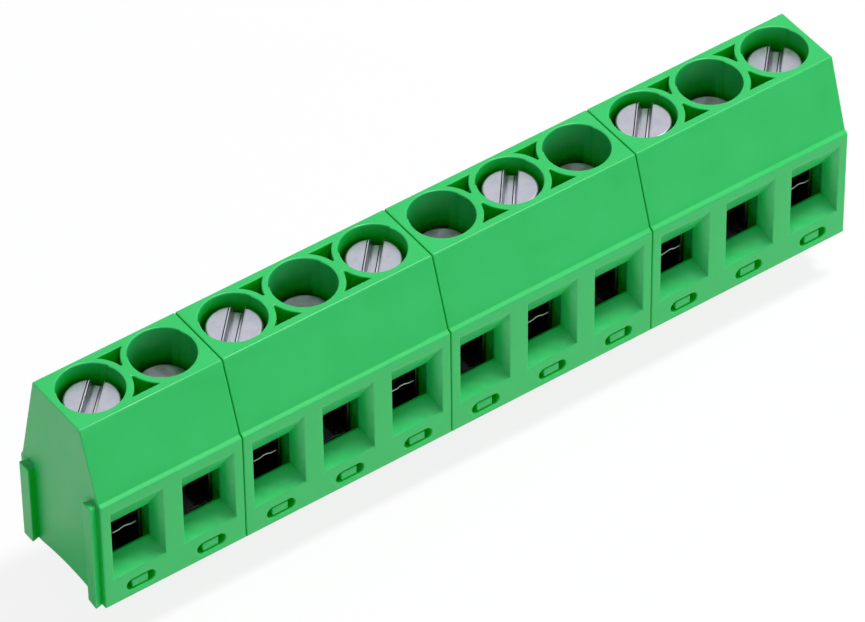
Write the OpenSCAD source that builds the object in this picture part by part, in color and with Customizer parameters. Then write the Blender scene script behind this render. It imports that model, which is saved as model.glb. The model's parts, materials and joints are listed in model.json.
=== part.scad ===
// Screw terminal strip for a circuit board, with wire guards.
// Moulded housings of two or three poles slide together on dovetail ribs. Each pole holds a
// metal clamp with a solder pin, a guard leaf over the wire and a slotted screw that presses it.
// X runs along the strip, wires go in from -Y, screws face +Z.
// The origin is the middle of the pin row, at the board's surface.

/* [Strip] */
// Distance from one pole to the next
pitch = 5.08; // [5:0.01:5.1]
// Poles in each interlocked housing, from left to right
housing_poles = [2, 3, 3, 3]; // [2:1:3]

/* [Housing] */
// Height of the housing above the board
body_h = 13.5; // [13:0.1:15]
// Front face, in front of the pin row
front_reach = 4.46; // [4.4:0.01:4.8]
// Rear face, behind the pin row
back_reach = 4.42; // [4.3:0.01:4.8]
// Front edge of the flat top, in front of the pin row
top_front = 2.60; // [2.5:0.01:2.8]
// Rear edge of the flat top, behind the pin row
top_back = 2.47; // [2.4:0.01:2.7]
// Height of the upright part of the front face
front_face_h = 8.42; // [8:0.01:8.8]
// Height of the upright part of the rear face
back_face_h = 6.0; // [5.5:0.1:6.5]
// Radius of the outline's corners
corner_r = 0.15; // [0.05:0.01:0.2]
// Rise of the hollow arch under the housing
arch_rise = 0.32; // [0.1:0.01:0.4]
// Radius of the screw shafts in the top
bore_r = 2.07; // [1.95:0.01:2.1]
// Extra radius of the relief round the rear of each screw shaft
relief = 0.07; // [0.03:0.01:0.1]
// Wall between a screw shaft and the core pockets beside it
pocket_wall = 0.48; // [0.46:0.01:0.6]
// Depth of the core pockets between the shafts
pocket_depth = 4.5; // [2:0.1:5]
// Gap seen between one housing and the next
seam_gap = 0.06; // [0.02:0.01:0.12]

/* [Wire entry] */
// Width of the funnel at the front face
mouth_w = 3.76; // [3.5:0.01:3.8]
// Lowest point of the funnel at the front face
mouth_z0 = 2.12; // [2:0.01:2.4]
// Highest point of the funnel at the front face
mouth_z1 = 7.69; // [7:0.01:7.8]
// Width of the passage at the end of the funnel
throat_w = 3.2; // [2.8:0.01:3.3]
// Lowest point of the passage
throat_z0 = 2.85; // [2.7:0.01:3]
// Highest point of the passage
throat_z1 = 5.45; // [5.2:0.01:5.6]
// Depth of the funnel's taper
funnel_depth = 1.3; // [1:0.1:1.4]
// Width of the latch window below the funnel
window_w = 2.05; // [1.8:0.05:2.4]
// Height of the latch window
window_h = 0.9; // [0.7:0.05:1]
// Height of the latch window's middle above the board
window_z = 0.95; // [0.9:0.01:1.05]
// Gap above the block that stands in the latch window
window_gap_top = 0.20; // [0.1:0.01:0.25]
// Gap below the block
window_gap_bottom = 0.04; // [0.03:0.01:0.1]

/* [Dovetails] */
// How far a rib stands out of the left end
rib_t = 0.50; // [0.4:0.01:0.52]
// Undercut on each flank of a rib
rib_undercut = 0.13; // [0.05:0.01:0.15]
// Running clearance of a rib in its groove
rib_clearance = 0.03; // [0.02:0.01:0.04]

/* [Clamp] */
// Width of the clamp body
clamp_w = 3.7; // [3.5:0.01:3.75]
// Thickness of the clamp's floor
clamp_floor_t = 0.8; // [0.6:0.1:0.9]
// Width of the wire channel
channel_w = 3.0; // [2.95:0.01:3.1]
// Radius of the threaded hole, at the thread's crests
thread_r = 1.5; // [1.45:0.01:1.6]

/* [Screw] */
// Radius of the screw head
head_r = 1.76; // [1.6:0.01:1.85]
// Height of the screw head
head_h = 2.0; // [1.6:0.1:2.2]
// Length of the threaded shank
shank_l = 6.03; // [5.9:0.01:6.1]
// Width of the driver slot at its top
slot_w = 0.86; // [0.7:0.01:1]
// Width of the driver slot at its floor
slot_floor_w = 0.60; // [0.4:0.01:0.7]
// Depth of the driver slot
slot_d = 0.52; // [0.4:0.01:0.7]
// Height of each screw's tip above the board, pole by pole
tip_heights = [4.54, 2.86, 4.77, 2.86, 4.67, 2.77, 4.87, 2.67, 4.97, 2.77, 4.32]; // [2.6:0.01:5]
// Direction of each driver slot, from the strip's length
slot_angles = [45, 141, 47, 150, 48, 138, 51, 147, 49, 143, 47]; // [0:1:179]

/* [Guard] */
// Height of the guard's stiffening rib above the board, with the guard free
guard_top = 4.32; // [4.2:0.01:4.4]
// Thickness of the guard's sheet
guard_t = 0.12; // [0.1:0.01:0.2]
// Width of the guard
guard_w = 1.7; // [1.6:0.1:2.2]
// Height of the guard's stiffening rib
guard_rib_h = 0.10; // [0.08:0.01:0.2]

/* [Pin] */
// Radius of the solder pin
pin_r = 0.5; // [0.4:0.05:0.6]
// Length of the solder pin below the housing
pin_l = 3.5; // [3:0.1:4]
// Radius of the shoulder that stands on the board
shoulder_r = 0.85; // [0.75:0.05:1]

/* [Hidden] */
$fn = 64;
over = 0.5;                                  // how far a cut runs past the face it opens
front = -front_reach;
back = back_reach;
front_edge = [[front + 0.30, front_face_h + 0.18], [front, front_face_h]];
back_edge = [[back, back_face_h], [back - 0.23, back_face_h + 0.40]];

pole_count = total(housing_poles);
poles = [1:pole_count];

// Clamp chamber, wire channel and the metal inside them
chamber_front = front + funnel_depth + 0.2;  // behind the front wall
clamp_front = chamber_front + 0.9;
clamp_back = 2.7;
clamp_z0 = 0.9;
clamp_z1 = 8.0;
channel_z0 = clamp_z0 + clamp_floor_t;
channel_z1 = 5.6;
clamp_corner_r = 0.3;

// Guard leaf
guard_front = chamber_front + 0.1;
guard_back = 2.2;
guard_tab_w = 1.6;
guard_tab_h = 1.0;
guard_rib_w = 0.8;
guard_crest_w = 0.24;

// Ribs as [nearest the front, nearest the back, height]
ribs = [[front + 0.36, front + 1.27, front_face_h - 0.04], [front + 7.29, front + 8.31, 6.1]];

// Core pockets end this far from the pole row, in front and behind
pocket_front = 2.01;
pocket_back = 1.94;
pocket_tip = 0.57;                           // and start this far from it, where the walls meet

// Pad that sets the distance to the next housing, as [front, rear, bottom, top]
pad = [-1.0, 1.0, 2.5, 9.5];

// Arch under the housing, from foot to foot
arch_front = front + 0.5;
arch_back = 2.54;

green = [0.20, 0.72, 0.36];
tinned = [0.80, 0.80, 0.78];
zinc_plated = [0.72, 0.72, 0.78];
spring_steel = [0.62, 0.62, 0.64];

function total(list, count = undef, i = 0) =
    i >= (is_undef(count) ? len(list) : count) ? 0 : list[i] + total(list, count, i + 1);
function pole_x(k) = (k - (pole_count + 1) / 2) * pitch;
function first_pole(h) = total(housing_poles, h - 1) + 1;

// A guard stands free, or as low as its screw presses it
function guard_crest(k) = min(guard_top, tip_heights[k - 1]);

// Size of the funnel at a depth behind the front face
function taper(depth, mouth, throat) = mouth + (throat - mouth) * depth / funnel_depth;

// A closed outline with each corner replaced by an arc of radius r
function rounded(points, r, steps = 4) = [
    for (i = [0:len(points) - 1])
        let (
            corner = points[i],
            before = unit(points[(i + len(points) - 1) % len(points)] - corner),
            after = unit(points[(i + 1) % len(points)] - corner),
            half = acos(before * after) / 2,
            centre = corner + unit(before + after) * r / sin(half),
            start = bearing(corner + before * r / tan(half) - centre),
            end = bearing(corner + after * r / tan(half) - centre),
            sweep = (end - start + 540) % 360 - 180
        )
        for (s = [0:steps])
            centre + r * [cos(start + sweep * s / steps), sin(start + sweep * s / steps)]
];
function unit(v) = v / norm(v);
function bearing(v) = atan2(v[1], v[0]);

function rectangle(x0, y0, x1, y1) = [[x0, y0], [x1, y0], [x1, y1], [x0, y1]];

// Turns an outline drawn in Y and Z into a solid that runs from X = 0 to its length
module along_x(length) {
    rotate([90, 0, 90]) linear_extrude(length) children();
}

// Turns an outline drawn in X and Z into a solid that runs from y0 to y1
module along_y(y0, y1) {
    translate([0, y1, 0]) rotate([90, 0, 0]) linear_extrude(y1 - y0) children();
}

module housing_blank(length) {
    outline = [
        [front, 0], [back, 0], back_edge[0], back_edge[1],
        [top_back, body_h], [-top_front, body_h], front_edge[0], front_edge[1]
    ];
    along_x(length) polygon(rounded(outline, corner_r));
}

module dovetail(rib, grow = 0) {
    y0 = rib[0] - grow;
    y1 = rib[1] + grow;
    out = rib_t + grow;
    linear_extrude(rib[2] + grow)
        polygon([
            [over, y0 + rib_undercut], [0, y0 + rib_undercut], [-out, y0],
            [-out, y1], [0, y1 - rib_undercut], [over, y1 - rib_undercut]
        ]);
}

module groove(rib) {
    translate([0, 0, -over]) dovetail([rib[0], rib[1], rib[2] + over], rib_clearance);
}

// Tapers from the mouth to the throat in both directions, then runs straight into the chamber
module wire_funnel() {
    y_mouth = front - over;
    y_throat = front + funnel_depth;
    y_end = chamber_front + over;
    half_mouth = taper(-over, mouth_w, throat_w) / 2;
    half_throat = throat_w / 2;
    intersection() {
        translate([-pitch / 2, 0, 0])
            along_x(pitch)
                polygon([
                    [y_mouth, taper(-over, mouth_z0, throat_z0)], [y_throat, throat_z0], [y_end, throat_z0],
                    [y_end, throat_z1], [y_throat, throat_z1], [y_mouth, taper(-over, mouth_z1, throat_z1)]
                ]);
        linear_extrude(body_h)
            polygon([
                [-half_mouth, y_mouth], [half_mouth, y_mouth], [half_throat, y_throat],
                [half_throat, y_end], [-half_throat, y_end], [-half_throat, y_throat]
            ]);
    }
}

// Slot with round ends and a block standing in it, under the wire entry
module latch_window() {
    recess = 0.6;
    block_w = 1.16;
    block_h = window_h - window_gap_top - window_gap_bottom;
    block_recess = 0.12;
    end_x = (window_w - window_h) / 2;
    translate([0, 0, window_z])
        difference() {
            along_y(front - over, front + recess) {
                square([2 * end_x, window_h], center = true);
                for (side = [-1, 1]) translate([side * end_x, 0]) circle(d = window_h);
            }
            translate([-block_w / 2, front + block_recess, window_gap_bottom - window_h / 2])
                cube([block_w, recess, block_h]);
        }
}

// Round shaft for the screw, a little wider round its rear
module screw_shaft() {
    relief_from = 28;
    relief_to = 153;
    shaft_h = body_h - clamp_z1 + over;
    translate([0, 0, clamp_z1]) {
        cylinder(r = bore_r, h = shaft_h);
        rotate([0, 0, relief_from])
            rotate_extrude(angle = relief_to - relief_from) square([bore_r + relief, shaft_h]);
    }
}

module clamp_chamber() {
    translate([-clamp_w / 2, chamber_front, -over])
        cube([clamp_w, clamp_back - chamber_front, clamp_z1 + over]);
}

// Three-cornered pockets in front of and behind the wall between two screw shafts
module core_pockets() {
    translate([0, 0, body_h - pocket_depth])
        linear_extrude(pocket_depth + over)
            difference() {
                translate([-pitch / 2, -pocket_front]) square([pitch, pocket_front + pocket_back]);
                translate([-pitch / 2, -pocket_tip]) square([pitch, 2 * pocket_tip]);
                for (side = [-1, 1])
                    translate([side * pitch / 2, 0]) circle(r = bore_r + pocket_wall);
            }
}

// Shallow arch between the front and rear feet
module foot_arch(length) {
    half_span = (arch_back - arch_front) / 2;
    arch_r = (half_span * half_span + arch_rise * arch_rise) / (2 * arch_rise);
    translate([-rib_t - over, (arch_front + arch_back) / 2, arch_rise - arch_r])
        rotate([0, 90, 0]) cylinder(r = arch_r, h = length + rib_t + 2 * over, $fn = 128);
}

// Sets the right end back all round its pad
module end_relief() {
    difference() {
        translate([-seam_gap, front - over, -over])
            cube([seam_gap + over, back - front + 2 * over, body_h + 2 * over]);
        translate([-over, pad[0], pad[2]]) cube([2 * over, pad[1] - pad[0], pad[3] - pad[2]]);
    }
}

module housing(h) {
    count = housing_poles[h - 1];
    length = count * pitch;
    translate([pole_x(first_pole(h)) - pitch / 2, 0, 0])
        color(green)
            difference() {
                union() {
                    housing_blank(length);
                    for (rib = ribs) dovetail(rib);
                }
                for (i = [0:count - 1])
                    translate([(i + 0.5) * pitch, 0, 0]) {
                        screw_shaft();
                        clamp_chamber();
                        wire_funnel();
                        latch_window();
                    }
                for (i = [1:count - 1]) translate([i * pitch, 0, 0]) core_pockets();
                translate([length, 0, 0]) {
                    for (rib = ribs) groove(rib);
                    end_relief();
                }
                foot_arch(length);
            }
}

// Folded sheet cage: threaded roof, open wire channel, hole for the staked pin
module clamp(k) {
    half_w = clamp_w / 2;
    translate([pole_x(k), 0, 0])
        color(tinned)
            difference() {
                translate([0, 0, clamp_z0])
                    linear_extrude(clamp_z1 - clamp_z0)
                        polygon(rounded(rectangle(-half_w, clamp_front, half_w, clamp_back), clamp_corner_r));
                translate([-channel_w / 2, clamp_front - over, channel_z0])
                    cube([channel_w, clamp_back - clamp_front + 2 * over, channel_z1 - channel_z0]);
                translate([0, 0, channel_z1 - over]) cylinder(r = thread_r, h = clamp_z1);
                cylinder(r = pin_r, h = channel_z0 + over);
            }
}

// Ribbed leaf over the wire, turned up at its rear end
module guard(k) {
    half_w = guard_w / 2;
    rib = guard_rib_w / 2;
    crest = guard_crest_w / 2;
    upper = [
        [half_w, -guard_rib_h], [rib, -guard_rib_h], [crest, 0],
        [-crest, 0], [-rib, -guard_rib_h], [-half_w, -guard_rib_h]
    ];
    lower = [for (i = [len(upper) - 1:-1:0]) upper[i] - [0, guard_t]];
    translate([pole_x(k), 0, guard_crest(k)])
        color(spring_steel) {
            along_y(guard_front, guard_back) polygon(concat(upper, lower));
            translate([-guard_tab_w / 2, guard_back - guard_t, -guard_rib_h - guard_t])
                cube([guard_tab_w, guard_t, guard_t + guard_tab_h]);
        }
}

// Slotted cheese head on a shank that stands for the M3 thread's pitch cylinder
module screw(k) {
    shank_r = thread_r - 0.05;
    edge = 0.15;
    point = 0.4;
    top = shank_l + head_h;
    mouth = slot_floor_w + (slot_w - slot_floor_w) * (slot_d + over) / slot_d;
    translate([pole_x(k), 0, tip_heights[k - 1]])
        color(zinc_plated)
            difference() {
                rotate_extrude()
                    polygon([
                        [0, 0], [shank_r - point, 0], [shank_r, point], [shank_r, shank_l],
                        [head_r, shank_l], [head_r, top - edge], [head_r - edge, top], [0, top]
                    ]);
                rotate([0, 0, slot_angles[k - 1]])
                    translate([-head_r - over, 0, top])
                        along_x(2 * (head_r + over))
                            polygon([
                                [-slot_floor_w / 2, -slot_d], [slot_floor_w / 2, -slot_d],
                                [mouth / 2, over], [-mouth / 2, over]
                            ]);
            }
}

// Round pin staked flush in the clamp's floor, with a shoulder that meets the board
module pin(k) {
    tip_l = 0.4;
    tip_r = 0.28;
    translate([pole_x(k), 0, 0])
        color(tinned)
            rotate_extrude()
                polygon([
                    [0, -pin_l], [tip_r, -pin_l], [pin_r, tip_l - pin_l], [pin_r, 0], [shoulder_r, 0],
                    [shoulder_r, clamp_z0], [pin_r, clamp_z0], [pin_r, channel_z0], [0, channel_z0]
                ]);
}

for (h = [1:len(housing_poles)]) housing(h);
for (k = poles) {
    clamp(k);
    pin(k);
    guard(k);
    screw(k);
}
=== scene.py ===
"""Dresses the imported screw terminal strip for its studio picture.

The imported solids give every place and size. The moulded housings, screws, guards, clamps and
pins are modelled again with softened edges, threads and driver slots, each gets a procedural
finish, and a white studio with the camera completes the scene. All lengths are in metres.
"""

from __future__ import annotations

import json
import logging
import math
from contextlib import contextmanager
from dataclasses import dataclass
from enum import Enum
from typing import Callable, Iterator, Sequence

import bmesh
import bpy
from mathutils import Matrix, Vector

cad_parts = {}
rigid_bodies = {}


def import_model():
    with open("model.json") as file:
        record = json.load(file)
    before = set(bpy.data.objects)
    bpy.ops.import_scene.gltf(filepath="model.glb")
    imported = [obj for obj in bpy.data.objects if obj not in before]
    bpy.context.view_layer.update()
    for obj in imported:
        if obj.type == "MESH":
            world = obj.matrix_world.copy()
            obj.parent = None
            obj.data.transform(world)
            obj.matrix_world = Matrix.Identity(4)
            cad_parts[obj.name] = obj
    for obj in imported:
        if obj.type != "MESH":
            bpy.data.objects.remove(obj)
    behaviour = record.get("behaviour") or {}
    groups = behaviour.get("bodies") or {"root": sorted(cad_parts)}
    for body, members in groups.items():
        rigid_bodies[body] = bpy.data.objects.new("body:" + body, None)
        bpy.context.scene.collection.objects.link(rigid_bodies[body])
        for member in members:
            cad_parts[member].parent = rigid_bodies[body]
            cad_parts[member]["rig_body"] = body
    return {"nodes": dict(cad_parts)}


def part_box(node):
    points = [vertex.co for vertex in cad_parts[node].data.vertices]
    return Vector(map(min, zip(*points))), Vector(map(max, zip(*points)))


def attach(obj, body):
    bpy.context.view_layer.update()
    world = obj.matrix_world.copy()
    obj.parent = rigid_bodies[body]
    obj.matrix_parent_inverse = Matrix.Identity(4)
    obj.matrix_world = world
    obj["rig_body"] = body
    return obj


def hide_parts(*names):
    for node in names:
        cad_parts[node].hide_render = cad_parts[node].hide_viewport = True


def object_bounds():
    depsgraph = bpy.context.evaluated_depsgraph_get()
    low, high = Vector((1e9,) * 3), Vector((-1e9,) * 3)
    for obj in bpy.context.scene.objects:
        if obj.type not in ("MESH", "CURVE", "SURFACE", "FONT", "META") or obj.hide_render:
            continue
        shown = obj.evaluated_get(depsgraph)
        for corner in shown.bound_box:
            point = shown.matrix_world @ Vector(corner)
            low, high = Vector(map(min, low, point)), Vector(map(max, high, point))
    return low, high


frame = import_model()
CAD_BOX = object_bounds()

MM = 0.001
# Faces that meet at a smaller angle than this, in radians, lie in one plane.
FLAT_ANGLE = 0.007
# Stands for the angle at an edge that doesn't have two faces; larger than any real angle.
OPEN_ANGLE = 9.0
# A least area, in square metres, that no flat here reaches, so that none gets a band.
NO_BANDS = 1.0
# Edges sharper than this, in radians, are rounded.
SHARP_ANGLE = math.radians(30.0)
# Cross edges that run nearer to an edge than this, in radians, keep it sharp.
SKEW_ANGLE = math.radians(32.0)
# Width of the band along a flat's rim, as a share of the rounding's width.
BAND_SHARE = 1.11
# Part of a face's own width that the rounding of one of its edges may take.
ROOM_SHARE = 0.42
# Part of an edge's length that the roundings at its ends may take together.
LENGTH_SHARE = 0.9
LOG = logging.getLogger("terminal_strip")

Colour = tuple[float, float, float, float]
Mesh = bpy.types.Object


def nodes_named(prefix: str) -> list[str]:
    """Returns the frame's node names that start with a prefix, in the order of their numbers.

    Args:
        prefix: The words before the number, such as "screw_".

    Returns:
        The names, lowest number first.
    """
    names = [name for name in frame["nodes"] if name.startswith(prefix)]
    return sorted(names, key=lambda name: int(name.rsplit("_", 1)[1]))


# ---------------------------------------------------------------------------------------------
# Modelling steps
# ---------------------------------------------------------------------------------------------


def deselect() -> None:
    """Leaves object mode with nothing selected."""
    if bpy.context.object and bpy.context.object.mode != "OBJECT":
        bpy.ops.object.mode_set(mode="OBJECT")
    bpy.ops.object.select_all(action="DESELECT")


def only(piece: Mesh) -> None:
    """Selects one piece and makes it active."""
    deselect()
    piece.select_set(True)
    bpy.context.view_layer.objects.active = piece


@contextmanager
def editing(piece: Mesh) -> Iterator[None]:
    """Keeps a piece in edit mode for a block of steps, with nothing selected at its start.

    Args:
        piece: The mesh object to edit.
    """
    only(piece)
    bpy.ops.object.mode_set(mode="EDIT")
    bpy.ops.mesh.select_mode(type="FACE")
    bpy.ops.mesh.select_all(action="DESELECT")
    yield
    bpy.ops.object.mode_set(mode="OBJECT")


def pick_faces(test: Callable[[bmesh.types.BMFace], bool]) -> None:
    """Selects the faces of the edited piece that pass a test, and no others.

    Args:
        test: Says whether a face is wanted.
    """
    mesh = bmesh.from_edit_mesh(bpy.context.edit_object.data)
    for face in mesh.faces:
        face.select_set(False)
    for face in [face for face in mesh.faces if test(face)]:
        face.select_set(True)
    bmesh.update_edit_mesh(bpy.context.edit_object.data)


def apply_modifier(piece: Mesh, kind: str, **settings: object) -> None:
    """Adds a modifier to a piece, sets it and applies it.

    Args:
        piece: The mesh object to change.
        kind: Blender's name of the modifier, such as "BEVEL".
        **settings: The modifier's own settings.
    """
    only(piece)
    modifier = piece.modifiers.new(kind.lower(), kind)
    for name, value in settings.items():
        setattr(modifier, name, value)
    bpy.ops.object.modifier_apply(modifier=modifier.name)


def joined_flats(mesh: bmesh.types.BMesh) -> list[list[bmesh.types.BMFace]]:
    """Groups the faces that lie next to each other in one plane.

    Args:
        mesh: The mesh to look through.

    Returns:
        The groups, each a list of its faces.
    """
    seen: set[bmesh.types.BMFace] = set()
    groups = []
    for start in mesh.faces:
        if start in seen:
            continue
        seen.add(start)
        group = [start]
        for face in group:
            for edge in face.edges:
                if edge.calc_face_angle(OPEN_ANGLE) < FLAT_ANGLE:
                    for other in set(edge.link_faces) - seen:
                        seen.add(other)
                        group.append(other)
        groups.append(group)
    return groups


def band_flats(mesh: bmesh.types.BMesh, band: float, least_area: float) -> None:
    """Lays an even band along the rim of each large flat, and fills its middle afresh.

    The band's cross edges meet the rim squarely, so that a rounding along the rim comes out even.

    Args:
        mesh: The mesh to change.
        band: Width of the band.
        least_area: Flats smaller than this stay as they are.
    """
    for group in joined_flats(mesh):
        plain = len(group) == 1 and len(group[0].verts) <= 4
        if plain or sum(face.calc_area() for face in group) < least_area:
            continue
        normal = max(group, key=lambda face: face.calc_area()).normal.copy()
        bmesh.ops.inset_region(
            mesh, faces=group, thickness=band, use_even_offset=True, use_boundary=True
        )
        middle = set(group)
        rim = [
            edge
            for edge in {edge for face in group for edge in face.edges}
            if len(middle.intersection(edge.link_faces)) == 1
        ]
        bmesh.ops.delete(mesh, geom=group, context="FACES_KEEP_BOUNDARY")
        filled = bmesh.ops.triangle_fill(mesh, edges=rim, use_beauty=True, normal=normal)["geom"]
        for face in filled:
            if isinstance(face, bmesh.types.BMFace) and face.normal.dot(normal) < 0:
                face.normal_flip()


def room_across(face: bmesh.types.BMFace, loop: bmesh.types.BMLoop) -> float:
    """Measures how far a face reaches from one of its edges.

    Args:
        face: The face.
        loop: The edge's loop in it.

    Returns:
        The least distance to an edge on the other side, seen squarely from five points.
    """
    start = loop.vert.co
    along = loop.link_loop_next.vert.co - start
    length = along.length
    along = along / length
    inward = face.normal.cross(along)
    beside = (loop, loop.link_loop_next, loop.link_loop_prev)
    room = 1.0
    for share in (0.02, 0.25, 0.5, 0.75, 0.98):
        point = start + along * (length * share)
        for other in face.loops:
            if other in beside or other.edge.calc_face_angle(OPEN_ANGLE) < FLAT_ANGLE:
                continue
            near, far = other.vert.co - point, other.link_loop_next.vert.co - point
            x0, x1 = near.dot(along), far.dot(along)
            if (x0 <= 0) == (x1 <= 0):
                continue
            y0, y1 = near.dot(inward), far.dot(inward)
            across = y0 - (y1 - y0) * x0 / (x1 - x0)
            if across > 1e-8:
                room = min(room, across)
    return room


def skewed(edge: bmesh.types.BMEdge) -> bool:
    """Says whether a cross edge in a flat runs nearly along an edge from one of its ends."""
    for vertex in edge.verts:
        along = edge.other_vert(vertex).co - vertex.co
        for cross in vertex.link_edges:
            if cross is not edge and cross.calc_face_angle(OPEN_ANGLE) < FLAT_ANGLE:
                if along.angle(cross.other_vert(vertex).co - vertex.co, math.pi) < SKEW_ANGLE:
                    return True
    return False


def rounding_widths(
    mesh: bmesh.types.BMesh, width: float, share: Callable[[Vector], float]
) -> dict[int, float]:
    """Finds how wide each outward edge can be rounded before it runs into its neighbours.

    Args:
        mesh: The mesh to look through.
        width: The full width.
        share: Gives the share of it that is wanted, from the middle of an edge.

    Returns:
        The width for each sharp edge that points outward, by the edge's index.
    """
    widths = {}
    for edge in mesh.edges:
        if edge.is_convex and edge.calc_face_angle(0.0) > SHARP_ANGLE and not skewed(edge):
            widths[edge.index] = width * share((edge.verts[0].co + edge.verts[1].co) / 2)
    loops = [(face, loop) for face in mesh.faces for loop in face.loops]
    for face, loop in loops:
        if widths.get(loop.edge.index, 0.0) > 0.0:
            room = ROOM_SHARE * room_across(face, loop)
            widths[loop.edge.index] = min(widths[loop.edge.index], room)
    for _ in range(6):
        for face, loop in loops:
            after, before = loop.link_loop_next, loop.link_loop_prev
            if loop.edge.calc_face_angle(OPEN_ANGLE) < FLAT_ANGLE:
                continue
            own = widths.get(loop.edge.index, 0.0)
            along = after.vert.co - loop.vert.co
            corners = (
                (loop, before, along, before.vert.co - loop.vert.co),
                (after, after, -along, after.link_loop_next.vert.co - after.vert.co),
            )
            needed = 0.0
            for corner, neighbour, out, back in corners:
                if not corner.is_convex or neighbour.edge.calc_face_angle(OPEN_ANGLE) < FLAT_ANGLE:
                    continue
                turn = out.angle(back, math.pi)
                if math.sin(turn) > 1e-3:
                    other = widths.get(neighbour.edge.index, 0.0)
                    needed += max(0.0, (other + own * math.cos(turn)) / math.sin(turn))
            allowed = LENGTH_SHARE * along.length
            if needed > allowed:
                for index in {loop.edge.index, before.edge.index, after.edge.index}:
                    if index in widths:
                        widths[index] *= allowed / needed
    return widths


def soften(
    piece: Mesh,
    width: float,
    segments: int = 3,
    least_area: float = 8.0 * MM * MM,
    share: Callable[[Vector], float] = lambda middle: 1.0,
) -> None:
    """Rounds the sharp outward edges of a piece and shades it smoothly.

    Args:
        piece: The mesh object to change.
        width: Width of the rounding.
        segments: Facets across each rounded edge.
        least_area: Flats larger than this get an even band along their rims first.
        share: Gives the share of the width for an edge, from the edge's middle.
    """
    mesh = bmesh.new()
    mesh.from_mesh(piece.data)
    band_flats(mesh, BAND_SHARE * width, least_area)
    mesh.to_mesh(piece.data)
    mesh.free()
    mesh = bmesh.new()
    mesh.from_mesh(piece.data)
    widths = rounding_widths(mesh, width, share)
    mesh.free()
    weights = piece.data.attributes.new("bevel_weight_edge", "FLOAT", "EDGE")
    for index, value in widths.items():
        weights.data[index].value = value / width
    apply_modifier(
        piece,
        "BEVEL",
        width=width,
        segments=segments,
        limit_method="WEIGHT",
        miter_outer="MITER_SHARP",
        use_clamp_overlap=False,
    )
    piece.data.attributes.remove(piece.data.attributes["bevel_weight_edge"])
    only(piece)
    bpy.ops.object.shade_smooth_by_angle(angle=math.radians(40.0))
    apply_modifier(piece, "WEIGHTED_NORMAL", mode="FACE_AREA", weight=80, keep_sharp=True)


def cut(piece: Mesh, cutter: Mesh) -> None:
    """Takes a cutter's space out of a piece and deletes the cutter."""
    apply_modifier(piece, "BOOLEAN", operation="DIFFERENCE", solver="EXACT", object=cutter)
    bpy.data.objects.remove(cutter)


def unite(piece: Mesh, other: Mesh) -> None:
    """Makes two closed pieces into one closed piece and deletes the second."""
    apply_modifier(piece, "BOOLEAN", operation="UNION", solver="EXACT", object=other)
    bpy.data.objects.remove(other)


def block(low: Sequence[float], high: Sequence[float]) -> Mesh:
    """Adds a box between two corners, with its place in its mesh.

    Args:
        low: The lowest corner.
        high: The highest corner.

    Returns:
        The box.
    """
    deselect()
    middle = [(a + b) / 2 for a, b in zip(low, high)]
    bpy.ops.mesh.primitive_cube_add(size=1.0, location=middle)
    box = bpy.context.object
    box.scale = [b - a for a, b in zip(low, high)]
    bpy.ops.object.transform_apply(location=True, rotation=True, scale=True)
    return box


def drum(radius: float, low: float, high: float, sides: int = 64) -> Mesh:
    """Adds an upright cylinder on the Z axis, with its place in its mesh.

    Args:
        radius: Its radius.
        low: Height of its foot.
        high: Height of its top.
        sides: Number of flat sides.

    Returns:
        The cylinder.
    """
    deselect()
    bpy.ops.mesh.primitive_cylinder_add(
        vertices=sides, radius=radius, depth=high - low, location=(0.0, 0.0, (low + high) / 2)
    )
    bpy.ops.object.transform_apply(location=True, rotation=True, scale=True)
    return bpy.context.object


def copy_at(pattern: Mesh, name: str, turn: Matrix) -> Mesh:
    """Copies a finished pattern piece with a mesh of its own, and places it in its mesh.

    Args:
        pattern: The piece to copy.
        name: Name of the copy.
        turn: Where the copy goes, from the pattern's own place.

    Returns:
        The copy.
    """
    piece = pattern.copy()
    piece.data = pattern.data.copy()
    piece.name = piece.data.name = name
    bpy.context.scene.collection.objects.link(piece)
    piece.data.transform(turn)
    return piece


def solid_copy(node: str, name: str) -> Mesh:
    """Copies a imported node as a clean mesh: doubles merged, slivers gone from flat faces.

    Args:
        node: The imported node.
        name: Name of the copy.

    Returns:
        The copy, which no longer rides on anything.
    """
    only(frame["nodes"][node])
    bpy.ops.object.duplicate()
    piece = bpy.context.object
    piece.parent = None
    for key in [key for key in piece.keys() if key.startswith("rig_")]:
        del piece[key]
    piece.name = piece.data.name = name
    piece.data.materials.clear()
    with editing(piece):
        bpy.ops.mesh.select_all(action="SELECT")
        bpy.ops.mesh.remove_doubles(threshold=0.0005 * MM)
        bpy.ops.mesh.dissolve_limited(angle_limit=math.radians(0.4))
    return piece


def seat(piece: Mesh, node: str, finish: bpy.types.Material) -> None:
    """Dresses a finished piece, puts it in place of its node and lets it ride on the node's body.

    Args:
        piece: The finished mesh object.
        node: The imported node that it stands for.
        finish: Its material.
    """
    piece.data.materials.clear()
    piece.data.materials.append(finish)
    body = frame["nodes"][node]["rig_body"]
    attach(piece, body)
    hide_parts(node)
    LOG.info("%s: %d faces, rides on %s", piece.name, len(piece.data.polygons), body)


def seat_row(
    pattern: Mesh, prefix: str, suffix: str, finish: bpy.types.Material
) -> None:
    """Seats a copy of a pattern on each node of a row, and deletes the pattern.

    Args:
        pattern: The finished pattern, in the place of the row's first node.
        prefix: The words before the number in the nodes' names.
        suffix: Word that ends the new pieces' names.
        finish: Their material.
    """
    names = nodes_named(prefix)
    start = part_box(names[0])[0]
    for name in names:
        shift = Matrix.Translation(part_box(name)[0] - start)
        seat(copy_at(pattern, f"{name}_{suffix}", shift), name, finish)
    bpy.data.objects.remove(pattern)


# ---------------------------------------------------------------------------------------------
# Finishes
# ---------------------------------------------------------------------------------------------


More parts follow.
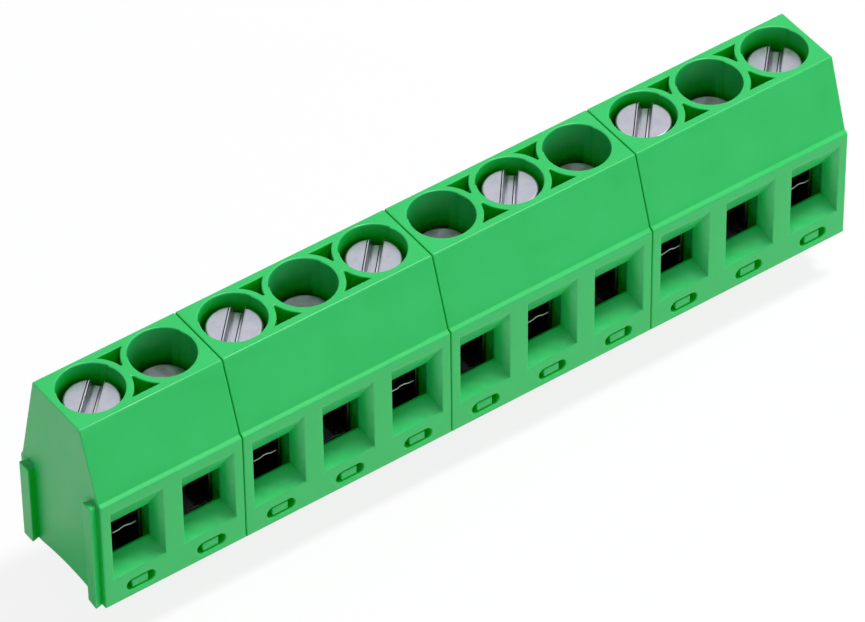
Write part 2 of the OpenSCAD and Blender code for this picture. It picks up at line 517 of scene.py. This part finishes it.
@dataclass
class NodeBoard:
    """A short way to lay out the nodes of one tree.

    Attributes:
        tree: The node tree that is filled.
    """

    tree: bpy.types.NodeTree

    def add(self, kind: str, **settings: object) -> bpy.types.Node:
        """Adds a node and sets its sockets, or its properties where no socket has the name.

        Args:
            kind: The node's type without its "ShaderNode" prefix, or in full.
            **settings: Values by lower-case name, with underscores for spaces.

        Returns:
            The node.
        """
        full = kind if kind.startswith("Node") else f"ShaderNode{kind}"
        node = self.tree.nodes.new(full)
        sockets = {socket.name.lower().replace(" ", "_"): socket for socket in node.inputs}
        for name, value in settings.items():
            if name in sockets:
                sockets[name].default_value = value
            else:
                setattr(node, name, value)
        return node

    def join(self, source: bpy.types.NodeSocket, target: bpy.types.NodeSocket) -> None:
        """Links an output to an input."""
        self.tree.links.new(source, target)

    def maths(self, operation: str, first: object, second: object = 0.0) -> bpy.types.NodeSocket:
        """Adds a Math node on two numbers or outputs.

        Args:
            operation: The Math node's operation.
            first: A number or an output.
            second: A number or an output.

        Returns:
            The result's output.
        """
        node = self.add("Math", operation=operation)
        for socket, value in zip(node.inputs, (first, second)):
            if isinstance(value, (int, float)):
                socket.default_value = value
            else:
                self.join(value, socket)
        return node.outputs[0]

    def place(self, group: bpy.types.NodeTree, **values: float) -> bpy.types.Node:
        """Places a shared group and sets its inputs by their lower-case names.

        Args:
            group: The shared node group.
            **values: Numbers for its inputs.

        Returns:
            The group's node.
        """
        node = self.add("Group", node_tree=group)
        for name, value in values.items():
            node.inputs[name.capitalize()].default_value = value
        return node

    def ramp(
        self,
        value: bpy.types.NodeSocket,
        low: float,
        high: float,
        to_low: float = 0.0,
        to_high: float = 1.0,
    ) -> bpy.types.NodeSocket:
        """Spreads the values between two limits over another range, clamped.

        Args:
            value: The output to read.
            low: What becomes the range's start.
            high: What becomes its end.
            to_low: The range's start.
            to_high: The range's end.

        Returns:
            The spread values.
        """
        node = self.add("MapRange")
        node.inputs["From Min"].default_value = low
        node.inputs["From Max"].default_value = high
        node.inputs["To Min"].default_value = to_low
        node.inputs["To Max"].default_value = to_high
        self.join(value, node.inputs["Value"])
        return node.outputs["Result"]

    def blend(
        self, mask: bpy.types.NodeSocket, first: object, second: object
    ) -> bpy.types.NodeSocket:
        """Mixes two colours by a mask.

        Args:
            mask: 0 gives the first colour and 1 the second.
            first: A colour or an output.
            second: A colour or an output.

        Returns:
            The mixed colour.
        """
        node = self.add("Mix", data_type="RGBA")
        self.join(mask, node.inputs["Factor"])
        for socket, value in zip((node.inputs[6], node.inputs[7]), (first, second)):
            if isinstance(value, tuple):
                socket.default_value = value
            else:
                self.join(value, socket)
        return node.outputs[2]


def new_group(
    name: str, inputs: dict[str, float], outputs: dict[str, str]
) -> tuple[bpy.types.NodeTree, NodeBoard]:
    """Starts a shader node group with named sockets.

    Args:
        name: Name of the group.
        inputs: Each number input with its default.
        outputs: Each output with its socket type.

    Returns:
        The group, and a board to fill it with.
    """
    group = bpy.data.node_groups.new(name, "ShaderNodeTree")
    for label, value in inputs.items():
        socket = group.interface.new_socket(label, in_out="INPUT", socket_type="NodeSocketFloat")
        socket.default_value = value
    for label, kind in outputs.items():
        group.interface.new_socket(label, in_out="OUTPUT", socket_type=kind)
    return group, NodeBoard(group)


def edge_group() -> bpy.types.NodeTree:
    """Builds the shared edge mask: 1 along rounded edges, broken up by noise.

    Returns:
        The group, with a Radius input and a Mask output.
    """
    group, board = new_group(
        "edge_rub", {"Radius": 0.15 * MM, "Breakup": 0.5}, {"Mask": "NodeSocketFloat"}
    )
    inlet = board.add("NodeGroupInput")
    outlet = board.add("NodeGroupOutput")
    bevel = board.add("Bevel", samples=6)
    board.join(inlet.outputs["Radius"], bevel.inputs["Radius"])
    surface = board.add("NewGeometry")
    agree = board.add("VectorMath", operation="DOT_PRODUCT")
    board.join(bevel.outputs["Normal"], agree.inputs[0])
    board.join(surface.outputs["True Normal"], agree.inputs[1])
    bend = board.ramp(board.maths("SUBTRACT", 1.0, agree.outputs["Value"]), 0.0, 0.12)
    place = board.add("TexCoord")
    noise = board.add("TexNoise", scale=1.6 / MM, detail=3.0)
    board.join(place.outputs["Object"], noise.inputs["Vector"])
    broken = board.ramp(noise.outputs["Fac"], 0.3, 0.62)
    kept = board.maths("SUBTRACT", 1.0, board.maths("MULTIPLY", inlet.outputs["Breakup"], broken))
    board.join(board.maths("MULTIPLY", bend, kept), outlet.inputs["Mask"])
    return group


def recess_group() -> bpy.types.NodeTree:
    """Builds the shared painted-shade mask, from ambient occlusion: 0 on open faces, 1 far inside
    holes and cavities.

    Returns:
        The group, with Reach, Open and Closed inputs, a Mask output and the Cover it comes from.
    """
    group, board = new_group(
        "recess_depth",
        {"Reach": 3.0 * MM, "Open": 0.3, "Closed": 0.9},
        {"Mask": "NodeSocketFloat", "Cover": "NodeSocketFloat"},
    )
    inlet = board.add("NodeGroupInput")
    outlet = board.add("NodeGroupOutput")
    around = board.add("AmbientOcclusion", samples=8)
    board.join(inlet.outputs["Reach"], around.inputs["Distance"])
    spread = board.add("MapRange", interpolation_type="SMOOTHSTEP")
    cover = board.maths("SUBTRACT", 1.0, around.outputs["AO"])
    board.join(cover, spread.inputs["Value"])
    board.join(cover, outlet.inputs["Cover"])
    board.join(inlet.outputs["Open"], spread.inputs["From Min"])
    board.join(inlet.outputs["Closed"], spread.inputs["From Max"])
    board.join(spread.outputs["Result"], outlet.inputs["Mask"])
    return group


def grain_group() -> bpy.types.NodeTree:
    """Builds the shared mould grain: a fine spark-eroded texture and slow cloudy mottling.

    Returns:
        The group, with Fineness and Cloudiness inputs and Height and Cloud outputs.
    """
    group, board = new_group(
        "surface_grain",
        {"Fineness": 14.0 / MM, "Cloudiness": 0.35 / MM},
        {"Height": "NodeSocketFloat", "Cloud": "NodeSocketFloat"},
    )
    inlet = board.add("NodeGroupInput")
    outlet = board.add("NodeGroupOutput")
    place = board.add("TexCoord")
    fine = board.add("TexNoise", detail=4.0, roughness=0.6)
    pits = board.add("TexVoronoi", feature="SMOOTH_F1")
    cloud = board.add("TexNoise", detail=5.0, roughness=0.55, distortion=0.4)
    for node in (fine, pits, cloud):
        board.join(place.outputs["Object"], node.inputs["Vector"])
    board.join(inlet.outputs["Fineness"], fine.inputs["Scale"])
    half = board.maths("MULTIPLY", inlet.outputs["Fineness"], 0.5)
    board.join(half, pits.inputs["Scale"])
    board.join(inlet.outputs["Cloudiness"], cloud.inputs["Scale"])
    pitted = board.maths("MULTIPLY", pits.outputs["Distance"], 0.6)
    board.join(board.maths("ADD", fine.outputs["Fac"], pitted), outlet.inputs["Height"])
    board.join(board.ramp(cloud.outputs["Fac"], 0.3, 0.7), outlet.inputs["Cloud"])
    return group


class Lay(Enum):
    """Which way the tool marks of a metal surface run."""

    TURNED = "rings round the vertical axis of the piece"
    ROLLED = "lines along Y, as on strip"
    DRAWN = "lines along Z, as on wire"


def marks_group() -> bpy.types.NodeTree:
    """Builds the shared tool marks: fine lines, crossed by one coordinate of the piece.

    Returns:
        The group, with Across and Lines inputs and a Height output.
    """
    group, board = new_group(
        "tool_marks", {"Across": 0.0, "Lines": 9.0 / MM}, {"Height": "NodeSocketFloat"}
    )
    inlet = board.add("NodeGroupInput")
    outlet = board.add("NodeGroupOutput")
    noise = board.add("TexNoise", noise_dimensions="1D", detail=3.0, roughness=0.7)
    board.join(inlet.outputs["Across"], noise.inputs["W"])
    board.join(inlet.outputs["Lines"], noise.inputs["Scale"])
    board.join(noise.outputs["Fac"], outlet.inputs["Height"])
    return group


@dataclass(frozen=True)
class MouldedPlastic:
    """Satin coloured thermoplastic from a spark-eroded mould.

    Attributes:
        name: Name of the material.
        body: Colour of the plastic.
        cloud: Colour of its slow, cloudy variation.
        rub_and_highlight: Colour of its edges, partly worn by rubbing and partly a painted
            highlight.
        recess_shade_colour: Painted shade inside its holes, a purer green that stands in for the
            light bounced round the plastic there.
        roughness: Mean roughness.
        grain_depth: Depth of the mould grain.
        edge_radius: How far the edge rubbing and painted highlight reach from an edge.
        edge_rub: How much of that edge colour shows on an edge.
        reach: How far the recess mask looks for walls.
        recess: Cover at which the painted shade colour starts, and at which it is full.
        dimmed: Cover at which the gloss starts to weaken, and at which it is weakest.
        gloss: Specular level on open faces, and at its weakest.
    """

    name: str
    body: Colour
    cloud: Colour
    rub_and_highlight: Colour
    recess_shade_colour: Colour
    roughness: float = 0.40
    grain_depth: float = 0.004 * MM
    edge_radius: float = 0.16 * MM
    edge_rub: float = 0.45
    reach: float = 2.6 * MM
    recess: tuple[float, float] = (0.28, 0.66)
    dimmed: tuple[float, float] = (0.10, 0.32)
    gloss: tuple[float, float] = (0.5, 0.06)

    def material(self, groups: dict[str, bpy.types.NodeTree]) -> bpy.types.Material:
        """Builds the material.

        Args:
            groups: The shared node groups by name.

        Returns:
            The material.
        """
        material = bpy.data.materials.new(self.name)
        material.use_nodes = True
        board = NodeBoard(material.node_tree)
        shader = material.node_tree.nodes["Principled BSDF"]
        shader.inputs["IOR"].default_value = 1.52
        shader.inputs["Subsurface Weight"].default_value = 0.08
        shader.inputs["Subsurface Radius"].default_value = (0.15, 1.0, 0.25)
        shader.inputs["Subsurface Scale"].default_value = 0.25 * MM
        grain = board.place(groups["grain"], fineness=14.0 / MM, cloudiness=0.35 / MM)
        edge = board.place(groups["edge"], radius=self.edge_radius, breakup=0.45)
        opened, closed = self.recess
        recess = board.place(groups["recess"], reach=self.reach, open=opened, closed=closed)
        tone = board.blend(grain.outputs["Cloud"], self.body, self.cloud)
        # Painted highlight, with some real rubbing, lightens the rounded edges.
        edge_colour_share = board.maths("MULTIPLY", edge.outputs["Mask"], self.edge_rub)
        outer = board.blend(edge_colour_share, tone, self.rub_and_highlight)
        # Painted shade: holes and cavities are tinted toward a purer green by the occlusion mask.
        board.join(
            board.blend(recess.outputs["Mask"], outer, self.recess_shade_colour), shader.inputs["Base Color"]
        )
        sheen = board.ramp(recess.outputs["Cover"], *self.dimmed, *self.gloss)
        board.join(sheen, shader.inputs["Specular IOR Level"])
        satin = board.ramp(
            grain.outputs["Cloud"], 0.0, 1.0, self.roughness - 0.05, self.roughness + 0.07
        )
        board.join(satin, shader.inputs["Roughness"])
        bump = board.add("Bump", strength=0.35, distance=self.grain_depth)
        board.join(grain.outputs["Height"], bump.inputs["Height"])
        board.join(bump.outputs["Normal"], shader.inputs["Normal"])
        return material


@dataclass(frozen=True)
class PlatedMetal:
    """Metal with a thin plating and the marks of the tool that shaped it.

    Attributes:
        name: Name of the material.
        bright: Colour of clean plating.
        dull: Colour where the plating has dulled.
        lay: Which way the tool marks run.
        roughness: Mean roughness.
        lines: Tool marks per metre.
        mark_depth: Depth of the tool marks.
        cavity_shade_share: How much of its brightness painted shade takes away far inside a cavity.
        edge_radius: How far the worn plating reaches from an edge.
        reach: How far the recess mask looks for walls.
    """

    name: str
    bright: Colour
    dull: Colour
    lay: Lay
    roughness: float = 0.3
    lines: float = 9.0 / MM
    mark_depth: float = 0.004 * MM
    cavity_shade_share: float = 0.9
    edge_radius: float = 0.08 * MM
    reach: float = 4.0 * MM

    def _across(self, board: NodeBoard) -> bpy.types.NodeSocket:
        """Gives the coordinate that the tool marks run across."""
        place = board.add("TexCoord")
        split = board.add("SeparateXYZ")
        board.join(place.outputs["Object"], split.inputs[0])
        if self.lay is Lay.ROLLED:
            return split.outputs["X"]
        if self.lay is Lay.DRAWN:
            return board.maths("ADD", split.outputs["X"], split.outputs["Y"])
        ring = board.add("Attribute", attribute_name="from_axis")
        return ring.outputs["Fac"]

    def material(self, groups: dict[str, bpy.types.NodeTree]) -> bpy.types.Material:
        """Builds the material.

        Args:
            groups: The shared node groups by name.

        Returns:
            The material.
        """
        material = bpy.data.materials.new(self.name)
        material.use_nodes = True
        board = NodeBoard(material.node_tree)
        shader = material.node_tree.nodes["Principled BSDF"]
        shader.inputs["Metallic"].default_value = 1.0
        grain = board.place(groups["grain"], fineness=9.0 / MM, cloudiness=1.1 / MM)
        edge = board.place(groups["edge"], radius=self.edge_radius, breakup=0.6)
        recess = board.place(groups["recess"], reach=self.reach, open=0.45, closed=0.9)
        marks = board.place(groups["marks"], lines=self.lines)
        board.join(self._across(board), marks.inputs["Across"])
        tone = board.blend(grain.outputs["Cloud"], self.bright, self.dull)
        worn = tuple(min(1.0, 1.15 * c) for c in self.bright[:3]) + (1.0,)
        # Painted shade: far inside cavities the colour is darkened toward black by the occlusion
        # mask.
        cavity_shade_colour = tuple((1.0 - self.cavity_shade_share) * c for c in self.dull[:3]) + (1.0,)
        outer = board.blend(edge.outputs["Mask"], tone, worn)
        board.join(board.blend(recess.outputs["Mask"], outer, cavity_shade_colour), shader.inputs["Base Color"])
        gloss = board.ramp(
            grain.outputs["Cloud"], 0.0, 1.0, self.roughness - 0.06, self.roughness + 0.1
        )
        board.join(gloss, shader.inputs["Roughness"])
        height = board.maths(
            "ADD", marks.outputs["Height"], board.maths("MULTIPLY", grain.outputs["Height"], 0.3)
        )
        bump = board.add("Bump", strength=0.5, distance=self.mark_depth)
        board.join(height, bump.inputs["Height"])
        board.join(bump.outputs["Normal"], shader.inputs["Normal"])
        return material


# ---------------------------------------------------------------------------------------------
# Pieces of the strip
# ---------------------------------------------------------------------------------------------


@dataclass
class Housings:
    """The interlocked mouldings, with the soft edges that a mould leaves.

    Attributes:
        finish: Their plastic.
        edge: Width of the rounding on their edges.
        core_reach: How far the shafts and chambers reach to either side of the pin row.
        core_top: Height below which an edge within that reach is inside the housing.
        foot_top: Height below which an edge is under the feet.
    """

    finish: bpy.types.Material
    edge: float = 0.09 * MM
    core_reach: float = 2.8 * MM
    core_top: float = 13.4 * MM
    foot_top: float = 0.25 * MM

    def _open_edge(self, middle: Vector) -> float:
        """Gives 1 for an edge in the open, and 0 inside the shafts or under the feet."""
        inside = abs(middle.y) < self.core_reach and middle.z < self.core_top
        return 0.0 if inside or middle.z < self.foot_top else 1.0

    def build(self) -> None:
        """Copies each packed housing, rounds its edges and seats it."""
        for node in nodes_named("housing_"):
            piece = solid_copy(node, f"{node}_moulding")
            soften(piece, self.edge, share=self._open_edge)
            seat(piece, node, self.finish)


@dataclass
class Screws:
    """Slotted cheese-head screws with a rolled M3 thread.

    The pattern screw stands with its point at the origin and its slot along X.

    Attributes:
        finish: Their plated metal.
        slot_angles: Direction of each screw's slot, in degrees from X.
        shank_l: Length of the shank.
        slot_w: Width of the slot at its top.
        slot_floor_w: Width of the slot at its floor.
        slot_d: Depth of the slot.
        crest_r: Radius of the thread's crests.
        root_r: Radius of the thread's roots.
        point_r: Radius of the screw's point.
        lead: Rise of the thread in one turn.
        flank: Height of one flank of the thread.
        facets: Facets in one turn of the thread.
        rim: Width of the rounding on the head's rims.
        slot_edge: Share of it on the edges of the slot.
    """

    finish: bpy.types.Material
    slot_angles: Sequence[float]
    shank_l: float = 6.03 * MM
    slot_w: float = 0.86 * MM
    slot_floor_w: float = 0.60 * MM
    slot_d: float = 0.52 * MM
    crest_r: float = 1.48 * MM
    root_r: float = 1.23 * MM
    point_r: float = 1.02 * MM
    lead: float = 0.5 * MM
    flank: float = 0.19 * MM
    facets: int = 40
    rim: float = 0.14 * MM
    slot_edge: float = 0.35

    def _head(self, radius: float, top: float) -> Mesh:
        """Makes the slotted head with a rounded rim.

        Args:
            radius: The head's radius.
            top: Height of its top above the screw's point.

        Returns:
            The head.
        """
        head = drum(radius, self.shank_l, top, sides=96)
        reach = 2 * radius
        spread = self.slot_w - self.slot_floor_w
        half_w = self.slot_w / 2 + spread / 2
        slot = block((-reach, -half_w, top - self.slot_d), (reach, half_w, top + self.slot_d))
        with editing(slot):
            pick_faces(lambda face: face.normal.z < -0.5)
            bpy.ops.transform.resize(value=(1.0, self.slot_floor_w / (2 * half_w), 1.0))
        cut(head, slot)
        rim_from = 0.95 * radius
        soften(
            head,
            self.rim,
            least_area=MM * MM,
            share=lambda middle: 1.0 if middle.xy.length > rim_from else self.slot_edge,
        )
        return head

    def _shank(self) -> Mesh:
        """Makes the threaded shank by winding the thread's outline round the axis.

        Returns:
            The closed shank.
        """
        deselect()
        bpy.ops.mesh.primitive_plane_add(size=1.0)
        shank = bpy.context.object
        outline = [
            (self.root_r, 0.0, -self.lead),
            (self.crest_r, 0.0, self.flank - self.lead),
            (self.crest_r, 0.0, 1.5 * self.flank - self.lead),
            (self.root_r, 0.0, 2.5 * self.flank - self.lead),
        ]
        with editing(shank):
            bpy.ops.mesh.select_all(action="SELECT")
            bpy.ops.mesh.delete(type="ONLY_FACE")
            mesh = bmesh.from_edit_mesh(shank.data)
            mesh.verts.ensure_lookup_table()
            ring = [mesh.verts[0]]
            while len(ring) < 4:
                edge = next(
                    e for e in ring[-1].link_edges if e.other_vert(ring[-1]) not in ring
                )
                ring.append(edge.other_vert(ring[-1]))
            mesh.edges.remove(mesh.edges.get((ring[3], ring[0])))
            tail = mesh.verts.new((self.root_r, 0.0, 0.0))
            for vertex, place in zip(ring, outline):
                vertex.co = place
            mesh.edges.new((ring[3], tail))
            bmesh.update_edit_mesh(shank.data)
        turns = math.ceil(self.shank_l / self.lead) + 3
        apply_modifier(
            shank,
            "SCREW",
            axis="Z",
            angle=2 * math.pi,
            screw_offset=self.lead,
            iterations=turns,
            steps=self.facets,
            render_steps=self.facets,
            use_merge_vertices=True,
            merge_threshold=0.0001 * MM,
        )
        with editing(shank):
            bpy.ops.mesh.select_all(action="SELECT")
            bpy.ops.mesh.remove_doubles(threshold=0.0005 * MM)
            for height, keep_above in ((0.0, True), (self.shank_l + 0.2 * MM, False)):
                bpy.ops.mesh.select_all(action="SELECT")
                bpy.ops.mesh.bisect(
                    plane_co=(0.0, 0.0, height),
                    plane_no=(0.0, 0.0, 1.0),
                    use_fill=True,
                    clear_inner=keep_above,
                    clear_outer=not keep_above,
                )
            mesh = bmesh.from_edit_mesh(shank.data)
            for vertex in mesh.verts:
                limit = self.point_r + max(0.0, vertex.co.z)
                reach = vertex.co.xy.length
                if reach > limit:
                    vertex.co.xy = vertex.co.xy * (limit / reach)
            bmesh.update_edit_mesh(shank.data)
            bpy.ops.mesh.select_all(action="SELECT")
            bpy.ops.mesh.normals_make_consistent(inside=False)
        only(shank)
        bpy.ops.object.shade_smooth_by_angle(angle=math.radians(35.0))
        return shank

    def build(self) -> None:
        """Makes the pattern screw, then copies it to each screw's place and turns its slot."""
        names = nodes_named("screw_")
        low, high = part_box(names[0])
        pattern = self._head((high.x - low.x) / 2, high.z - low.z)
        unite(pattern, self._shank())
        distance = pattern.data.attributes.new("from_axis", "FLOAT", "POINT")
        for index, vertex in enumerate(pattern.data.vertices):
            distance.data[index].value = vertex.co.xy.length
        for name, angle in zip(names, self.slot_angles):
            low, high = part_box(name)
            place = Vector(((low.x + high.x) / 2, (low.y + high.y) / 2, low.z))
            turn = Matrix.Translation(place) @ Matrix.Rotation(math.radians(angle), 4, "Z")
            seat(copy_at(pattern, f"{name}_slotted", turn), name, self.finish)
        bpy.data.objects.remove(pattern)


@dataclass
class Guards:
    """Ribbed spring leaves with an upturned rear end.

    Attributes:
        finish: Their metal.
        edge: Width of the rounding on their edges.
    """

    finish: bpy.types.Material
    edge: float = 0.03 * MM

    def build(self) -> None:
        """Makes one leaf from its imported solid, then copies it to each place."""
        pattern = solid_copy(nodes_named("guard_")[0], "guard_pattern")
        soften(pattern, self.edge, segments=2)
        seat_row(pattern, "guard_", "leaf", self.finish)


@dataclass
class Clamps:
    """Folded cages that hold the wire, and the solder pins staked in them.

    Attributes:
        cage_finish: Metal of the cages.
        pin_finish: Metal of the pins.
        edge: Width of the rounding on their edges.
        roof_z: Height of the underside of the cages' threaded roofs.
    """

    cage_finish: bpy.types.Material
    pin_finish: bpy.types.Material
    edge: float = 0.06 * MM
    roof_z: float = 5.6 * MM

    def _open_edge(self, middle: Vector) -> float:
        """Gives 0 under the threaded roof, where the hole meets the channel's walls, else 1."""
        return 0.0 if abs(middle.z - self.roof_z) < 0.1 * MM else 1.0

    def _row(self, prefix: str, suffix: str, finish: bpy.types.Material) -> None:
        """Softens the first of a row of like pieces and copies it to each place.

        Args:
            prefix: The words before the number in the nodes' names.
            suffix: Word that ends the new pieces' names.
            finish: Their material.
        """
        pattern = solid_copy(nodes_named(prefix)[0], f"{suffix}_pattern")
        soften(pattern, self.edge, 2, least_area=NO_BANDS, share=self._open_edge)
        seat_row(pattern, prefix, suffix, finish)

    def build(self) -> None:
        """Makes the cages and the pins."""
        self._row("clamp_", "cage", self.cage_finish)
        self._row("pin_", "tinned", self.pin_finish)


# ---------------------------------------------------------------------------------------------
# Studio
# ---------------------------------------------------------------------------------------------


@dataclass
class Studio:
    """White table and air, soft lights and the camera.

    Attributes:
        azimuth: Camera's bearing in degrees; 0 looks along +Y.
        elevation: Camera's height in degrees.
        roll: Turn of the camera about its view, in degrees.
        distance: From the camera to the point that it looks at.
        focus: That point.
        focal_length: Lens in millimetres on a sensor 36 mm wide.
        air: Strength of the even light on matt surfaces.
        backdrop: What glossy surfaces mirror from behind the strip.
        camera_side: What they mirror from the camera's side.
        shadow_share: How much of the table's own shading shows.
        far_table: From where to where the mirrored table darkens, in front of the strip.
    """

    azimuth: float = -35.07
    elevation: float = 43.86
    roll: float = -0.71
    distance: float = 397.7 * MM
    focus: tuple[float, float, float] = (-2.323 * MM, -2.177 * MM, 8.398 * MM)
    focal_length: float = 273.12
    air: float = 0.34
    backdrop: float = 0.85
    camera_side: float = 0.12
    shadow_share: float = 0.16
    far_table: tuple[float, float] = (0.014, 0.045)

    def camera(self) -> None:
        """Puts the camera at its bearing and height."""
        turn, rise, lean = (math.radians(a) for a in (self.azimuth, self.elevation, self.roll))
        back = Vector(
            (math.sin(turn) * math.cos(rise), -math.cos(turn) * math.cos(rise), math.sin(rise))
        )
        level = Vector((math.cos(turn), math.sin(turn), 0.0))
        up = back.cross(level)
        right = level * math.cos(lean) + up * math.sin(lean)
        upright = back.cross(right)
        lens = bpy.data.cameras.new("camera")
        lens.lens = self.focal_length
        lens.sensor_width = 36.0
        lens.clip_start = 0.01
        lens.clip_end = 10.0
        camera = bpy.data.objects.new("camera", lens)
        frame_axes = Matrix((right, upright, back)).transposed().to_4x4()
        camera.matrix_world = (
            Matrix.Translation(Vector(self.focus) + back * self.distance) @ frame_axes
        )
        bpy.context.scene.collection.objects.link(camera)
        bpy.context.scene.camera = camera

    def table(self) -> None:
        """Lays the white table at the pins' tips, where it keeps a faint shadow."""
        deselect()
        height = CAD_BOX[0][2]
        bpy.ops.mesh.primitive_plane_add(size=4.0, location=(0.0, 0.0, height))
        table = bpy.context.object
        table.name = "table"
        material = bpy.data.materials.new("white_table")
        material.use_nodes = True
        board = NodeBoard(material.node_tree)
        shader = material.node_tree.nodes["Principled BSDF"]
        shader.inputs["Roughness"].default_value = 0.9
        glow = board.add("Emission", color=(1.0, 1.0, 1.0, 1.0), strength=1.0)
        path = board.add("LightPath")
        place = board.add("TexCoord")
        split = board.add("SeparateXYZ")
        board.join(place.outputs["Object"], split.inputs[0])
        far = board.ramp(board.maths("MULTIPLY", split.outputs["Y"], -1.0), *self.far_table)
        mirrored = board.maths("MULTIPLY", far, path.outputs["Is Glossy Ray"])
        white, dark = (0.9, 0.9, 0.9, 1.0), (0.12, 0.12, 0.12, 1.0)
        board.join(board.blend(mirrored, white, dark), shader.inputs["Base Color"])
        mix = board.add("MixShader")
        seen = path.outputs["Is Camera Ray"]
        board.join(board.maths("MULTIPLY", seen, 1.0 - self.shadow_share), mix.inputs["Fac"])
        board.join(shader.outputs["BSDF"], mix.inputs[1])
        board.join(glow.outputs["Emission"], mix.inputs[2])
        output = material.node_tree.nodes["Material Output"]
        board.join(mix.outputs["Shader"], output.inputs["Surface"])
        table.data.materials.append(material)

    def world(self) -> None:
        """Fills the air with even light, brighter behind the strip, and shows it as white."""
        world = bpy.data.worlds.new("air")
        bpy.context.scene.world = world
        world.use_nodes = True
        board = NodeBoard(world.node_tree)
        board.tree.nodes.clear()
        path = board.add("LightPath")
        place = board.add("TexCoord")
        split = board.add("SeparateXYZ")
        board.join(place.outputs["Generated"], split.inputs[0])
        mirrored = board.add("MapRange", interpolation_type="SMOOTHSTEP")
        mirrored.inputs["From Min"].default_value = -0.7
        mirrored.inputs["From Max"].default_value = 0.35
        mirrored.inputs["To Min"].default_value = self.camera_side
        mirrored.inputs["To Max"].default_value = self.backdrop
        board.join(split.outputs["Y"], mirrored.inputs["Value"])
        glossy = path.outputs["Is Glossy Ray"]
        plain = board.maths("MULTIPLY", board.maths("SUBTRACT", 1.0, glossy), self.air)
        shown = board.maths("MULTIPLY", glossy, mirrored.outputs["Result"])
        light = board.add("Background", color=(0.96, 0.98, 1.0, 1.0))
        board.join(board.maths("ADD", plain, shown), light.inputs["Strength"])
        white = board.add("Background", color=(1.0, 1.0, 1.0, 1.0), strength=1.0)
        mix = board.add("MixShader")
        output = board.add("OutputWorld")
        board.join(path.outputs["Is Camera Ray"], mix.inputs["Fac"])
        board.join(light.outputs["Background"], mix.inputs[1])
        board.join(white.outputs["Background"], mix.inputs[2])
        board.join(mix.outputs["Shader"], output.inputs["Surface"])

    def lamp(
        self,
        name: str,
        place: tuple[float, float, float],
        size: float,
        power: float,
        mirrored: bool = True,
    ) -> None:
        """Hangs a square soft light that faces the strip.

        Args:
            name: Name of the light.
            place: Where it hangs.
            size: Length of its side.
            power: Its power in watts.
            mirrored: Says whether glossy surfaces show it.
        """
        light = bpy.data.lights.new(name, "AREA")
        light.size = size
        light.energy = power
        lamp = bpy.data.objects.new(name, light)
        aim = Vector(place) - Vector(self.focus)
        facing = aim.to_track_quat("Z", "Y").to_matrix().to_4x4()
        lamp.matrix_world = Matrix.Translation(place) @ facing
        lamp.visible_glossy = mirrored
        bpy.context.scene.collection.objects.link(lamp)

    def build(self) -> None:
        """Sets up the whole studio."""
        self.camera()
        self.table()
        self.world()
        self.lamp("overhead_softbox", (0.12, -0.05, 0.48), size=0.09, power=1.9)
        self.lamp("front_softbox", (0.12, -0.45, 0.12), size=0.25, power=0.45, mirrored=False)
        bpy.context.scene.view_settings.view_transform = "Standard"
        LOG.info("studio: camera at %.1f, %.1f degrees", self.azimuth, self.elevation)


def main() -> None:
    """Builds every piece of the strip and the studio."""
    logging.basicConfig(level=logging.INFO, format="%(name)s: %(message)s")
    groups = {
        "edge": edge_group(),
        "recess": recess_group(),
        "grain": grain_group(),
        "marks": marks_group(),
    }
    green = MouldedPlastic(
        "green_moulding",
        body=(0.013, 0.500, 0.105, 1.0),
        cloud=(0.017, 0.525, 0.118, 1.0),
        rub_and_highlight=(0.100, 0.640, 0.230, 1.0),
        recess_shade_colour=(0.003, 0.540, 0.008, 1.0),
    )
    zinc = PlatedMetal(
        "zinc_plating",
        (0.62, 0.61, 0.68, 1.0),
        (0.46, 0.46, 0.53, 1.0),
        Lay.TURNED,
        roughness=0.36,
        cavity_shade_share=0.35,
    )
    strip = PlatedMetal(
        "spring_strip",
        (0.62, 0.62, 0.60, 1.0),
        (0.42, 0.42, 0.42, 1.0),
        Lay.ROLLED,
        roughness=0.28,
    )
    tin = PlatedMetal(
        "tin_plating",
        (0.60, 0.60, 0.57, 1.0),
        (0.44, 0.44, 0.42, 1.0),
        Lay.ROLLED,
        roughness=0.34,
    )
    bright_tin = PlatedMetal(
        "bright_tin",
        (0.80, 0.79, 0.76, 1.0),
        (0.62, 0.62, 0.60, 1.0),
        Lay.DRAWN,
        roughness=0.24,
    )
    Housings(green.material(groups)).build()
    slot_angles = (45, 141, 47, 150, 48, 138, 51, 147, 49, 143, 47)
    Screws(zinc.material(groups), slot_angles).build()
    Guards(strip.material(groups)).build()
    Clamps(tin.material(groups), bright_tin.material(groups)).build()
    Studio().build()


if __name__ == "__main__":
    main()
